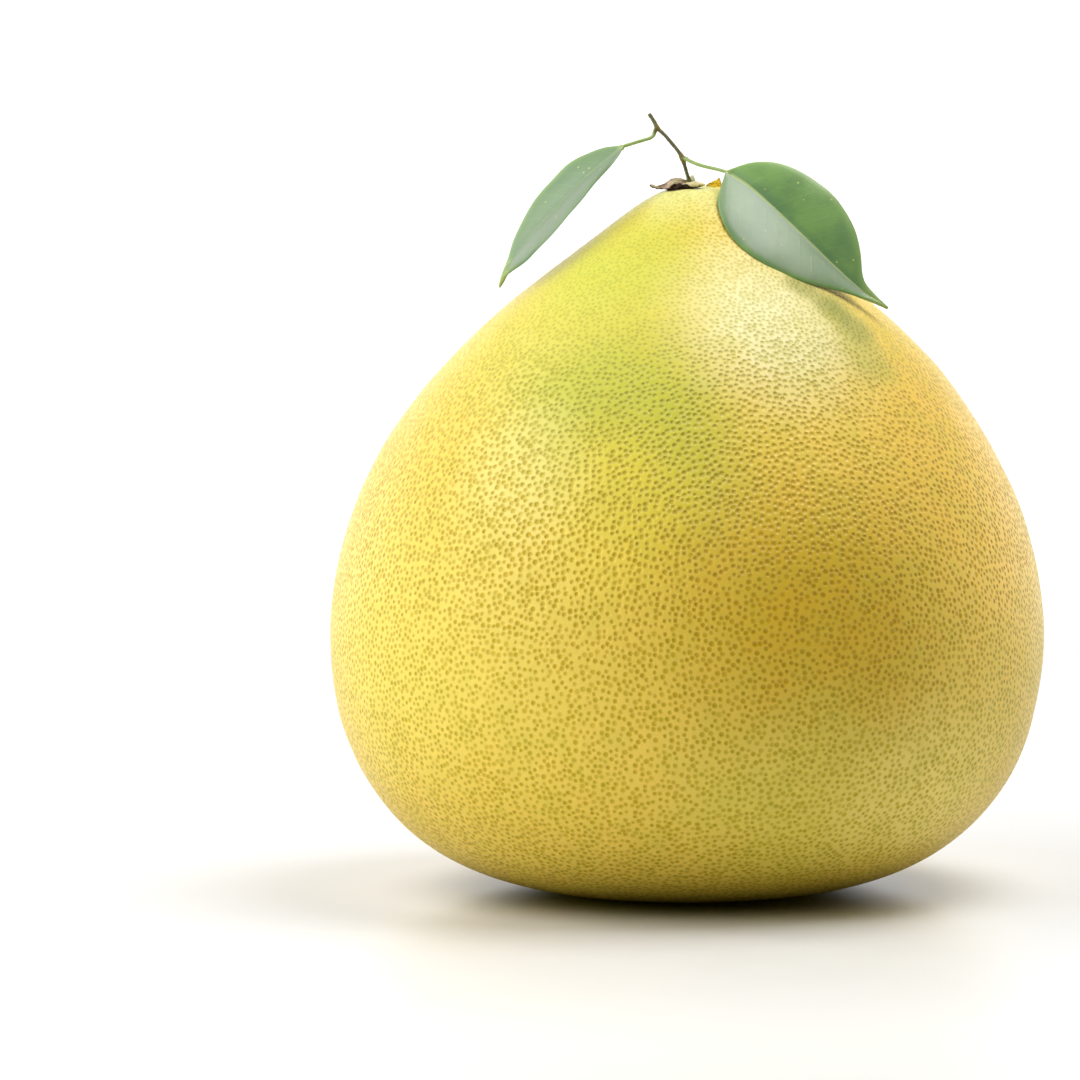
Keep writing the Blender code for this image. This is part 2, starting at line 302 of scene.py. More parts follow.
def swell_noise(points, scale, seed=0.0):
    """Smooth noise, about -1 to 1, at each point (mm); scale is in features per mm."""
    shift = Vector((seed, seed * 1.7, seed * 0.3))
    return np.array([noise.noise(Vector(p) * scale + shift) for p in points])


# ---------------------------------------------------------------- fruit

# The fruit's half outline, crown to flat spot: guide points as distance from the axis and height (mm).
FRUIT_OUTLINE = (
    (0.0, 168.7), (3.5, 168.7), (6.2, 169.6), (14.5, 164.9), (23.0, 157.0), (36.0, 147.5),
    (58.0, 129.5), (78.5, 100.0), (87.0, 67.0), (83.0, 33.0), (65.0, 9.5), (38.0, 0.0), (19.0, 0.0),
    (16.0, 0.0), (0.0, 0.0),
)
OUTLINE_STEPS = 6001
FRUIT_MIDDLE = 75.0
# The crown leans to the right by this much (mm) at its top, starting from CROWN_START.
CROWN_LEAN = 2.5
CROWN_START = 135.0
CROWN_TOP = 169.0
FRUIT_GRID = 150
# Oil glands (mm): least gap and dot radius low on the fruit, and tries for each square millimetre.
GLAND_GAP = 1.30
GLAND_RADIUS = 0.60
GLAND_TRIES = 5.0
GLAND_CELL = 2.0
GLAND_SEED = 7
# The face attributes that hold the nearest glands' centres, nearest first.
GLAND_SLOTS = ("gland_a", "gland_b", "gland_c", "gland_d")


def natural_shape(points):
    """Moves points (mm) of the evenly turned fruit so that it is slightly uneven, as grown."""
    x, y, z = points.T
    angle = np.arctan2(y, x)
    belly = np.exp(-(((z - 62.0) / 48.0) ** 2))
    shoulder = np.exp(-(((z - 138.0) / 20.0) ** 2))
    swell = 1.0 + belly * (0.006 * np.cos(2 * angle) + 0.004 * np.cos(3 * angle + 2.2))
    swell += shoulder * 0.012 * np.cos(5 * angle + 0.6)
    lean = np.maximum(0.0, (z - CROWN_START) / (CROWN_TOP - CROWN_START)) ** 2 * CROWN_LEAN
    return np.stack([x * swell + lean, y * swell, z], axis=1)


def fruit_surface(directions):
    """Where rays from the fruit's middle meet its skin, in mm."""
    outline = smooth_curve(FRUIT_OUTLINE, OUTLINE_STEPS)
    polar = np.arctan2(outline[:, 0], outline[:, 1] - FRUIT_MIDDLE)
    wanted = np.arctan2(np.hypot(directions[:, 0], directions[:, 1]), directions[:, 2])
    radius = np.interp(wanted, polar, outline[:, 0])
    height = np.interp(wanted, polar, outline[:, 1])
    flat = unit(directions[:, :2])
    return natural_shape(np.column_stack([flat * radius[:, None], height]))


def cube_sphere(count):
    """Directions, quads and per-corner map places of six square patches, each count faces wide.

    The map has the six patches in three columns and two rows, with a small gap round each.
    """
    steps = np.tan(np.linspace(-1.0, 1.0, count + 1) * math.pi / 4)
    a, b = np.meshgrid(steps, steps, indexing="ij")
    a, b = a.ravel(), b.ravel()
    one = np.ones_like(a)
    sides = [(one, a, b), (-one, -a, b), (-a, one, b), (a, -one, b), (-b, a, one), (b, a, -one)]
    cells = np.arange(count * (count + 1)).reshape(count, count + 1)[:, :-1].ravel()
    quads = np.stack([cells, cells + count + 1, cells + count + 2, cells + 1], axis=1)
    grid = np.linspace(0.0, 1.0, count + 1)
    u, v = (part.ravel() for part in np.meshgrid(grid, grid, indexing="ij"))
    points = []
    faces = []
    places = []
    for i, side in enumerate(sides):
        points.append(unit(np.stack(side, axis=1)))
        faces.append(quads + i * len(a))
        column, row = i % 3, i // 3
        across = (column + 0.012 + 0.976 * u) / 3
        up = (row + 0.008 + 0.984 * v) / 2
        places.append(np.stack([across, up], axis=1)[quads])
    points = np.vstack(points)
    faces = np.vstack(faces)
    _, first, same = np.unique(np.round(points, 6), axis=0, return_index=True, return_inverse=True)
    return points[first], same.ravel()[faces], np.vstack(places).reshape(-1, 2)


def gland_scale(height):
    """Glands are finer and closer near the crown."""
    return 1.0 - 0.26 * smoothstep(height, 112.0, 158.0)


def scatter_glands(points, faces, rng):
    """Oil-gland centres over the skin, none closer to another than the local gap."""
    corners = points[faces]
    diagonals = np.cross(corners[:, 2] - corners[:, 0], corners[:, 3] - corners[:, 1])
    area = np.linalg.norm(diagonals, axis=1) / 2
    total = int(area.sum() * GLAND_TRIES)
    chosen = rng.choice(len(faces), total, p=area / area.sum())
    s, t = rng.random((2, total, 1))
    quad = corners[chosen]
    low_side = quad[:, 0] * (1 - s) + quad[:, 1] * s
    high_side = quad[:, 3] * (1 - s) + quad[:, 2] * s
    spots = low_side * (1 - t) + high_side * t
    gaps = GLAND_GAP * gland_scale(spots[:, 2]) * (0.88 + 0.26 * rng.random(total))
    keys = np.floor(spots / GLAND_CELL).astype(int)
    taken = {}
    kept = []
    offsets = [(i, j, k) for i in (-1, 0, 1) for j in (-1, 0, 1) for k in (-1, 0, 1)]
    tries = zip(spots.tolist(), gaps.tolist(), keys.tolist())
    for n, ((x, y, z), gap, (i, j, k)) in enumerate(tries):
        limit = gap * gap
        for di, dj, dk in offsets:
            near = taken.get((i + di, j + dj, k + dk))
            if near and any((x - p) ** 2 + (y - q) ** 2 + (z - r) ** 2 < limit for p, q, r in near):
                break
        else:
            taken.setdefault((i, j, k), []).append((x, y, z))
            kept.append(n)
    return spots[kept]


def build_mesh(name, points, faces):
    """A smooth-shaded mesh of points given in mm."""
    mesh = bpy.data.meshes.new(name)
    mesh.from_pydata((points * MM).tolist(), [], faces)
    mesh.shade_smooth()
    return mesh


def add_values(mesh, name, kind, domain, values):
    """Keeps one value for each point or face, for the material to read."""
    layer = mesh.attributes.new(name, kind, domain)
    field = "vector" if kind == "FLOAT_VECTOR" else "value"
    layer.data.foreach_set(field, np.asarray(values, np.float32).ravel())


def add_piece(name, mesh, look, slot, *nodes):
    """One finished piece, which rides the root body and replaces the solids of the nodes named."""
    piece = bpy.data.objects.new(name, mesh)
    bpy.context.scene.collection.objects.link(piece)
    mesh.materials.append(look.material)
    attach(piece, "root")
    if nodes:
        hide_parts(*nodes)
    return piece


def build_fruit():
    """The fruit's skin, with low lumps and the centres of the nearest oil glands on each face."""
    directions, faces, places = cube_sphere(FRUIT_GRID)
    points = fruit_surface(directions)
    outward = unit(points - np.array([0.0, 0.0, FRUIT_MIDDLE]))
    lumps = 0.35 * swell_noise(points, 0.035, 3.0) + 0.12 * swell_noise(points, 0.11, 9.0)
    lumps *= smoothstep(points[:, 2], 2.0, 14.0) * (1.0 - smoothstep(points[:, 2], 160.0, 167.0))
    points = points + outward * lumps[:, None]
    mesh = build_mesh("skin", points, faces.tolist())
    layer = mesh.uv_layers.new(name="OFBake")
    layer.data.foreach_set("uv", places.astype(np.float32).ravel())
    glands = scatter_glands(points, faces, np.random.default_rng(GLAND_SEED)) * MM
    tree = kdtree.KDTree(len(glands))
    for i, spot in enumerate(glands):
        tree.insert(spot, i)
    tree.balance()
    middles = points[faces].mean(axis=1) * MM
    nearest = np.array([[hit[1] for hit in tree.find_n(m, len(GLAND_SLOTS))] for m in middles])
    for i, name in enumerate(GLAND_SLOTS):
        add_values(mesh, name, "FLOAT_VECTOR", "FACE", glands[nearest[:, i]])
    add_piece("fruit_skin", mesh, skin_look(), "peel", "fruit")


SKIN_BASE = (0.86, 0.61, 0.085, 1.0)
# Middle of the painted shade in the crown's recess under the calyx (m).
CROWN_SHADE_CENTRE = (-0.0026, -0.0016, 0.1687)
# Soft patches of colour on the skin, some of them painted light and shade: centre (mm), reach (mm), colour,
# strength. Later ones lie over earlier ones. In order: greens, painted light on the front-left, a gold, a
# painted highlight and painted light on the left, gold on the right, the deep belly with painted shade, the
# lower front, painted floor light low on the right, a painted highlight on the shoulder, the right leaf's
# painted shadow, the back, the crown, painted shade on the base and the scar in its middle.
SKIN_PATCHES_AND_PAINTED_LIGHT = (
    ((-30.0, -40.0, 146.0), 54.0, (0.68, 0.62, 0.100, 1.0), 0.90),
    ((-16.0, -62.0, 122.0), 40.0, (0.53, 0.54, 0.060, 1.0), 0.85),
    ((-2.0, -71.0, 112.0), 28.0, (0.56, 0.54, 0.055, 1.0), 0.60),
    ((-17.0, -22.0, 153.0), 28.0, (0.60, 0.63, 0.085, 1.0), 0.62),
    # Painted light on the front-left, in pale gold.
    ((-19.0, -76.0, 101.0), 30.0, (0.92, 0.71, 0.070, 1.0), 0.60),
    ((34.0, -60.0, 115.0), 40.0, (0.96, 0.68, 0.100, 1.0), 0.65),
    # Painted highlight on the left, then painted light on the lower left.
    ((-44.0, -63.0, 105.0), 27.0, (0.90, 0.82, 0.300, 1.0), 0.50),
    ((-62.0, -52.0, 70.0), 62.0, (0.86, 0.69, 0.120, 1.0), 0.75),
    ((72.0, -35.0, 104.0), 58.0, (0.94, 0.60, 0.080, 1.0), 0.88),
    # The belly's own deep gold, darkened further as painted shade.
    ((34.0, -82.0, 70.0), 52.0, (0.74, 0.47, 0.028, 1.0), 0.92),
    ((26.0, -74.0, 28.0), 40.0, (0.80, 0.66, 0.095, 1.0), 0.72),
    # Painted light from the floor, low on the right.
    ((62.0, -56.0, 24.0), 42.0, (0.96, 0.78, 0.200, 1.0), 0.75),
    # Painted highlight on the shoulder.
    ((22.0, -42.0, 143.0), 36.0, (0.84, 0.79, 0.400, 1.0), 0.85),
    # Painted shadow of the right leaf, in four spots.
    ((27.0, -23.0, 148.0), 7.0, (0.30, 0.31, 0.050, 1.0), 0.70),
    ((35.0, -24.5, 143.5), 8.0, (0.30, 0.31, 0.050, 1.0), 0.80),
    ((40.0, -26.5, 138.5), 9.0, (0.36, 0.36, 0.060, 1.0), 0.75),
    ((43.0, -34.0, 132.0), 12.0, (0.52, 0.48, 0.080, 1.0), 0.60),
    ((40.0, 70.0, 120.0), 60.0, (0.68, 0.63, 0.110, 1.0), 0.80),
    ((-50.0, 70.0, 60.0), 60.0, (0.84, 0.58, 0.090, 1.0), 0.70),
    ((20.0, 80.0, 40.0), 45.0, (0.68, 0.60, 0.080, 1.0), 0.60),
    ((0.0, 0.0, 170.0), 22.0, (0.74, 0.75, 0.300, 1.0), 0.85),
    # Painted shade on the base where the fruit rests.
    ((0.0, 0.0, -6.0), 72.0, (0.27, 0.23, 0.015, 1.0), 0.90),
    ((0.0, 0.0, 0.0), 6.0, (0.24, 0.15, 0.060, 1.0), 0.90),
)


def skin_look():
    """Yellow skin with patches of colour, painted light and painted shade, and a coloured dot in a shallow
    pit at each oil gland.
    """
    look = Look("pomelo_skin")
    place = look.place()
    height = look.split(place)["Z"]
    stray = look.noise(scale=26.0, detail=4.0, roughness=0.6)
    colour = SKIN_BASE
    for centre, reach, tint, strength in SKIN_PATCHES_AND_PAINTED_LIGHT:
        distance = look.vector("DISTANCE", place, tuple(c * MM for c in centre))
        nearer = look.math("SUBTRACT", distance, 0.3 * reach * MM)
        wander = look.math("MULTIPLY_ADD", stray, 0.6 * reach * MM, nearer)
        share = look.remap(wander, reach * MM, reach * 0.25 * MM, 0.0, strength)
        colour = look.mix(share, colour, tint)
    mottle = look.noise(scale=120.0, detail=5.0, roughness=0.65)
    colour = look.mix(look.remap(mottle, 0.35, 0.75, 0.0, 0.35), colour, (0.62, 0.55, 0.050, 1.0))
    hollow_shade = look.vector("DISTANCE", place, CROWN_SHADE_CENTRE)
    hollow_shade = look.math("MULTIPLY_ADD", mottle, 0.0022, hollow_shade)
    hollow_shade = look.remap(hollow_shade, 0.0042, 0.0032)
    fine = look.remap(height, 0.112, 0.158, 1.0, 0.74)
    faint = look.remap(height, 0.080, 0.135, 1.0, 0.50)
    sunk_low = look.remap(height, 0.060, 0.110, 0.5, 1.0)
    sunk = look.math("MULTIPLY", sunk_low, look.remap(height, 0.122, 0.148, 1.0, 0.35))
    dots = None
    pits = None
    for name in GLAND_SLOTS:
        centre = look.attribute(name, "Vector")
        chance = look.random(centre)
        size = look.math("MULTIPLY_ADD", chance["X"], 0.42, 0.80)
        radius = look.math("MULTIPLY", look.math("MULTIPLY", size, fine), GLAND_RADIUS * MM)
        away = look.math("DIVIDE", look.vector("DISTANCE", place, centre), radius)
        tone = look.math("MULTIPLY_ADD", chance["Y"], 0.40, 0.60)
        dot = look.math("MULTIPLY", look.remap(away, 1.22, 0.50), tone)
        pit = look.math("MULTIPLY", look.remap(away, 1.40, 0.15), tone)
        dots = dot if dots is None else look.math("MAXIMUM", dots, dot)
        pits = pit if pits is None else look.math("MAXIMUM", pits, pit)
    tint = look.mix(look.remap(height, 0.045, 0.080), (0.63, 0.61, 0.0, 1.0), (0.65, 0.57, 0.0, 1.0))
    tint = look.mix(look.remap(height, 0.110, 0.150), tint, (0.62, 0.67, 0.26, 1.0))
    deep = look.mix(1.0, colour, tint, "MULTIPLY")
    colour = look.mix(look.math("MULTIPLY", dots, faint), colour, deep)
    # Painted shade: the crown's recess under the calyx is coloured nearly black.
    colour = look.mix(hollow_shade, colour, (0.030, 0.014, 0.004, 1.0))
    look.put("Base Color", colour)
    look.put("Roughness", look.math("MULTIPLY_ADD", mottle, 0.12, 0.32))
    relief = look.bump(look.noise(scale=320.0, detail=3.0), 0.00009)
    relief = look.bump(look.noise(scale=1900.0, detail=2.0), 0.000018, relief)
    relief = look.bump(look.math("MULTIPLY", pits, look.math("MULTIPLY", sunk, -1.0)), 0.00042, relief)
    look.put("Normal", relief)
    look.shader.inputs["Specular IOR Level"].default_value = 0.28
    return look


# ---------------------------------------------------------------- swept pieces


# A leaf's stalk is swept in this many rings before its blade starts.
STALK_ROWS = 40


def sweep_mesh(name, rings):
    """A closed skin over a row of rings of points (mm), with a fan over each end."""
    rows, count = rings.shape[:2]
    points = np.vstack([rings.reshape(-1, 3), rings[0].mean(axis=0), rings[-1].mean(axis=0)])
    faces = []
    for i in range(rows - 1):
        for j in range(count):
            k = (j + 1) % count
            faces.append((i * count + j, i * count + k, (i + 1) * count + k, (i + 1) * count + j))
    first, last = rows * count, rows * count + 1
    for j in range(count):
        k = (j + 1) % count
        faces.append((k, j, first))
        faces.append(((rows - 1) * count + j, (rows - 1) * count + k, last))
    return build_mesh(name, points, faces)


def ring_values(values):
    """Per-point values of a sweep, with the two end points added."""
    return np.concatenate([values.ravel(), [values[0].mean(), values[-1].mean()]])


def between(triple, where):
    """Unit directions passing through the foot, middle and tip directions."""
    foot, middle, tip = (np.asarray(v, float)[None] for v in triple)
    t = np.asarray(where)[:, None]
    return unit(foot * (2 * t - 1) * (t - 1) + middle * 4 * t * (1 - t) + tip * t * (2 * t - 1))


def blade(name, stalk, midrib, lower, upper, lower_widths, upper_widths, shape):
    """A stalk and its blade as one thin solid, with places on it kept for its look.

    lower and upper are the directions of the two halves at foot, middle and tip, and the widths are theirs.
    shape holds rows, half (points across each half) and arch (a share of the width), and in mm: stalk (its
    half width), thick, rib (how far the midrib stands out below), curl (how far the edges turn down), wave
    and rough.
    """
    steps = np.linspace(0.0, 1.0, shape["rows"]) ** 0.9
    middles = through_curve(midrib, steps)
    ups, lows = between(upper, steps), between(lower, steps)
    up_half = through_curve([(w,) for w in upper_widths], steps)[:, 0]
    low_half = through_curve([(w,) for w in lower_widths], steps)[:, 0]
    if stalk:
        foot = through_curve(stalk + (midrib[0],), np.linspace(0.0, 1.0, STALK_ROWS + 1))[:-1]
        middles = np.vstack([foot, middles])
        ups = np.vstack([np.repeat(ups[:1], STALK_ROWS, axis=0), ups])
        lows = np.vstack([np.repeat(lows[:1], STALK_ROWS, axis=0), lows])
        width = shape["stalk"] * (1.0 + 0.55 * np.exp(-np.linspace(0.0, 6.0, STALK_ROWS)))
        up_half = np.concatenate([width, np.maximum(up_half, shape["stalk"] * 0.8)])
        low_half = np.concatenate([width, np.maximum(low_half, shape["stalk"] * 0.8)])
    length = np.concatenate([[0.0], np.cumsum(np.linalg.norm(np.diff(middles, axis=0), axis=1))])
    run = length - (length[STALK_ROWS] if stalk else 0.0)
    tangents = unit(np.gradient(middles, axis=0))
    facing = unit(np.cross(tangents, ups - lows))
    facing *= np.where((facing * (ups + lows)).sum(axis=1) < 0.0, -1.0, 1.0)[:, None]
    half = shape["half"]
    grid = np.sin(np.linspace(-1.0, 1.0, 2 * half + 1) * math.pi / 2)
    s = np.concatenate([grid, grid[-2:0:-1]])
    top = np.concatenate([np.ones(2 * half + 1), -np.ones(2 * half - 1)])
    wide = np.where(s > 0, up_half[:, None], low_half[:, None])
    side = np.where((s > 0)[None, :, None], ups[:, None], lows[:, None])
    far = np.abs(s)[None]
    reach = far * wide
    leafy = smoothstep(wide, shape["stalk"] * 1.6, shape["stalk"] + 2.2)
    lift = shape["arch"] * wide * 4 * far * (1 - far)
    lift -= shape["curl"] * np.where(s > 0, 0.35, 1.0) * leafy * np.clip((far - 0.89) / 0.11, 0.0, 1.0) ** 2
    lift += shape["wave"] * leafy * far**2 * np.sin(run[:, None] * 0.55 + np.where(s > 0, 1.0, 2.6))
    round_half = np.minimum(wide, shape["stalk"] * 1.6) * 0.9 * np.sqrt(np.maximum(0.0, 1 - far**2))
    thin_half = shape["thick"] / 2 * np.sqrt(np.maximum(0.0, 1 - far**6))
    fading = np.where(run[:, None] > 0, np.clip(1 - run[:, None] / run[-1], 0.0, 1.0), 1.0)
    rib = np.exp(-((reach / 0.42) ** 2)) * fading
    thin_half = thin_half + shape["rib"] * rib * np.where(top < 0, 1.0, 0.18)
    thin_half *= np.clip((run[-1] - run[:, None]) / 1.2, 0.25, 1.0)
    thickness = round_half * (1 - leafy) + thin_half * leafy
    rise = lift + top * thickness
    spots = middles[:, None] + side * reach[..., None] + facing[:, None] * rise[..., None]
    if shape["rough"]:
        flat = spots.reshape(-1, 3)
        push = swell_noise(flat, 0.75, 5.0) + 0.5 * swell_noise(flat, 2.1, 8.0)
        spots = spots + facing[:, None] * (shape["rough"] * push.reshape(spots.shape[:2]))[..., None]
    mesh = sweep_mesh(name, spots)
    kept = {
        "run": run[:, None],
        "span": np.sign(s)[None] * reach,
        "edge": wide - reach,
        "face": (top > 0) * 1.0,
        "leafy": leafy,
    }
    for key, values in kept.items():
        add_values(mesh, key, "FLOAT", "POINT", ring_values(np.broadcast_to(values, reach.shape)))
    return mesh


# ---------------------------------------------------------------- leaves

LEAF_SHAPE = {
    "rows": 130, "half": 20,
    "stalk": 0.44, "thick": 0.36, "arch": 0.05, "rib": 0.34, "curl": 0.24, "wave": 0.10, "rough": 0.0,
}
# Each leaf: points along its stalk and midrib, directions of its halves at foot, middle and tip, and the
# widths of its halves from foot to tip, all in mm.
LEFT_STALK = (
    (-7.5, 1.95, 183.2), (-8.05, 1.3, 182.1), (-8.3, 1.15, 181.4), (-9.0, 1.0, 180.8), (-10.2, 0.8, 180.4),
    (-13.4, 0.3, 179.5),
)
LEFT_MIDRIB = (
    (-15.4, 0.0, 178.9), (-20.0, -0.8, 175.2), (-25.5, -1.6, 170.5), (-31.0, -2.4, 164.7),
    (-36.0, -3.0, 159.5), (-40.3, -3.5, 154.0), (-43.2, -3.8, 149.8), (-45.2, -4.0, 145.4),
)
LEFT_UPPER = ((-0.30, 0.92, 0.30), (-0.40, 0.84, 0.40), (-0.40, 0.84, 0.36))
LEFT_LOWER = ((0.10, -0.99, -0.10), (0.19, -0.96, -0.19), (0.30, -0.90, -0.28))
LEFT_UPPER_WIDTHS = (0.4, 5.5, 8.2, 9.4, 9.4, 8.4, 6.8, 4.6, 2.3, 1.0, 0.3)
LEFT_LOWER_WIDTHS = (0.4, 5.0, 7.8, 9.3, 9.8, 9.8, 9.0, 7.0, 3.8, 1.2, 0.3)
RIGHT_STALK = (
    (-1.4, 0.4, 175.95), (-0.35, -0.3, 175.8), (0.1, -0.6, 175.5), (1.5, -1.2, 174.9), (3.8, -2.0, 174.2),
    (6.8, -2.8, 173.6),
)
RIGHT_MIDRIB = (
    (9.1, -3.4, 173.0), (14.4, -6.4, 169.8), (20.2, -9.4, 164.9), (27.3, -12.0, 158.4),
    (35.1, -13.4, 151.0), (41.5, -13.6, 145.4), (47.6, -13.2, 141.2),
)
RIGHT_UPPER = ((0.45, 0.30, 0.85), (0.62, 0.38, 0.68), (0.62, 0.35, 0.68))
RIGHT_LOWER = ((-0.62, -0.66, -0.42), (-0.50, -0.74, -0.45), (-0.42, -0.78, -0.46))
RIGHT_UPPER_WIDTHS = (0.4, 5.1, 8.6, 11.0, 12.5, 12.8, 11.2, 7.3, 2.7, 1.2, 0.3)
RIGHT_LOWER_WIDTHS = (0.4, 8.9, 13.4, 15.8, 16.2, 14.6, 11.3, 6.7, 3.3, 1.4, 0.3)


def leaf_look(name, length, start, yellowing, rib_share, greying):
    """Green above with a pale midrib, oblique side veins and yellow specks; paler below. The upper half has
    painted light along its edge; the lower half has painted shade along its edge and a painted sheen on its
    top.

    length and start are where the blade ends and the stalk begins (mm along it). yellowing, rib_share and
    greying are how strongly the tip turns yellow, the midrib shows and a grey-green veil lies over the
    blade.
    """
    look = Look(name)
    run, span, edge = (look.attribute(n) for n in ("run", "span", "edge"))
    face, leafy = look.attribute("face"), look.attribute("leafy")
    out = look.math("ABSOLUTE", span)
    cloud = look.noise(scale=95.0, detail=4.0, roughness=0.6)
    grain = look.noise(scale=900.0, detail=3.0)
    dark, fresh = (0.145, 0.275, 0.095, 1.0), (0.215, 0.390, 0.105, 1.0)
    blade_colour = look.mix(look.remap(cloud, 0.35, 0.65), dark, fresh)
    near_rib = look.math("ADD", out, look.math("MULTIPLY", cloud, 1.5))
    near_rib = look.remap(near_rib, 3.4, 0.6, 0.0, 0.65)
    blade_colour = look.mix(near_rib, blade_colour, (0.105, 0.220, 0.105, 1.0))
    # A grey-green veil over the top of the blade, as strong as the greying share.
    greyed = look.remap(cloud, 0.3, 0.7, 0.7 * greying, greying)
    blade_colour = look.mix(greyed, blade_colour, (0.155, 0.225, 0.135, 1.0))
    # Painted light: the upper half is lightened towards its edge.
    upper_margin_light = look.math("ADD", edge, look.math("MULTIPLY", cloud, 3.0))
    upper_margin_light = look.remap(upper_margin_light, 4.6, 1.2, 0.0, 0.60)
    upper_margin_light = look.math("MULTIPLY", upper_margin_light, look.remap(span, -0.5, 0.5))
    blade_colour = look.mix(upper_margin_light, blade_colour, (0.29, 0.45, 0.120, 1.0))
    tip = look.math("MULTIPLY_ADD", cloud, 6.0, run)
    tip = look.remap(tip, length * 0.86, length * 1.05, 0.0, yellowing)
    blade_colour = look.mix(tip, blade_colour, (0.24, 0.38, 0.070, 1.0))
    phase = look.math("MULTIPLY_ADD", out, -0.62, run)
    phase = look.math("ADD", phase, look.math("MULTIPLY", look.math("SIGN", span), 0.9))
    phase = look.math("MULTIPLY_ADD", look.math("SUBTRACT", cloud, 0.5), 3.2, phase)
    line = look.math("PINGPONG", phase, 1.95)
    vein = look.math("MULTIPLY", look.remap(line, 0.42, 0.02), look.remap(edge, 0.4, 4.5))
    fine = look.tree.nodes.new("ShaderNodeTexVoronoi")
    fine.feature = "DISTANCE_TO_EDGE"
    fine.inputs["Scale"].default_value = 1150.0
    look.feed(fine.inputs["Vector"], look.place())
    net = look.remap(fine.outputs["Distance"], 0.14, 0.0)
    blade_colour = look.mix(look.math("MULTIPLY", vein, 0.16), blade_colour, (0.24, 0.41, 0.15, 1.0))
    blade_colour = look.mix(look.math("MULTIPLY", net, 0.16), blade_colour, (0.16, 0.30, 0.075, 1.0))
    cells = look.tree.nodes.new("ShaderNodeTexVoronoi")
    cells.inputs["Scale"].default_value = 760.0
    look.feed(cells.inputs["Vector"], look.place())
    rare = look.remap(look.split(cells.outputs["Color"])["X"], 0.925, 0.93, smooth=False)
    speck = look.math("MULTIPLY", look.remap(cells.outputs["Distance"], 0.24, 0.12), rare)
    blade_colour = look.mix(look.math("MULTIPLY", speck, 0.75), blade_colour, (0.62, 0.66, 0.22, 1.0))
    below = look.mix(cloud, (0.145, 0.245, 0.085, 1.0), (0.20, 0.31, 0.115, 1.0))
    below = look.mix(look.math("MULTIPLY", vein, 0.55), below, (0.30, 0.40, 0.17, 1.0))
    below = look.mix(look.math("MULTIPLY", net, 0.25), below, (0.24, 0.35, 0.14, 1.0))
    colour = look.mix(face, below, blade_colour)
    # Along the lower half's edge a painted shade in dark green; along the upper half's edge a thin lighter
    # green.
    rim = look.remap(edge, 0.42, 0.08, 0.0, 0.55)
    rim_shade_and_tint = look.mix(look.remap(span, -0.5, 0.5), (0.11, 0.22, 0.06, 1.0), (0.32, 0.43, 0.14, 1.0))
    colour = look.mix(rim, colour, rim_shade_and_tint)
    # Painted sheen: the top of the lower half is greyed, away from its edge.
    lower_half_sheen = look.math("MULTIPLY", look.remap(span, 0.1, -0.6), look.remap(edge, 0.5, 1.6))
    lower_half_sheen = look.math("MULTIPLY", lower_half_sheen, face)
    lower_half_sheen = look.math("MULTIPLY", lower_half_sheen, look.remap(cloud, 0.2, 0.8, 0.42, 0.62))
    colour = look.mix(lower_half_sheen, colour, (0.235, 0.270, 0.205, 1.0))
    rib_width = look.remap(run, 0.0, length, 0.46, 0.16, smooth=False)
    rib = look.remap(look.math("DIVIDE", out, rib_width), 1.15, 0.65, 0.0, rib_share)
    colour = look.mix(rib, colour, (0.43, 0.53, 0.19, 1.0))
    stalk = look.mix(look.remap(grain, 0.3, 0.7), (0.29, 0.41, 0.105, 1.0), (0.37, 0.49, 0.165, 1.0))
    woody = look.remap(look.math("SUBTRACT", run, start), 1.9, 0.5)
    stalk = look.mix(woody, stalk, (0.135, 0.130, 0.028, 1.0))
    colour = look.mix(leafy, stalk, colour)
    look.put("Base Color", colour)
    gloss = look.math("MULTIPLY_ADD", cloud, 0.14, 0.30)
    dull = look.math("MULTIPLY", look.math("SUBTRACT", 1.0, face), 0.28)
    look.put("Roughness", look.math("ADD", dull, gloss))
    relief = look.bump(look.math("MULTIPLY", vein, -1.0), 0.000012)
    relief = look.bump(net, 0.000008, relief)
    relief = look.bump(look.noise(scale=420.0, detail=3.0), 0.00003, relief)
    look.put("Normal", relief)
    look.shader.inputs["Specular IOR Level"].default_value = 0.55
    return look


def build_leaves():
    mesh = blade(
        "left_leaf", LEFT_STALK, LEFT_MIDRIB, LEFT_LOWER, LEFT_UPPER,
        LEFT_LOWER_WIDTHS, LEFT_UPPER_WIDTHS, LEAF_SHAPE,
    )
    look = leaf_look("leaf_greyed", length=45.0, start=-9.5, yellowing=0.85, rib_share=0.30, greying=0.75)
    add_piece("leaf_left_blade", mesh, look, "leaf_green", "leaf_left")
    mesh = blade(
        "right_leaf", RIGHT_STALK, RIGHT_MIDRIB, RIGHT_LOWER, RIGHT_UPPER,
        RIGHT_LOWER_WIDTHS, RIGHT_UPPER_WIDTHS, LEAF_SHAPE,
    )
    look = leaf_look("leaf_glossy", length=52.0, start=-12.0, yellowing=0.15, rib_share=0.85, greying=0.08)
    add_piece("leaf_right_blade", mesh, look, "leaf_green", "leaf_right")


# ---------------------------------------------------------------- calyx, sepals, bud and twig

SEPAL_SHAPE = {
    "rows": 70, "half": 14,
    "stalk": 0.22, "thick": 0.20, "arch": 0.0, "rib": 0.0, "curl": 0.0, "wave": 0.0, "rough": 0.34,
}
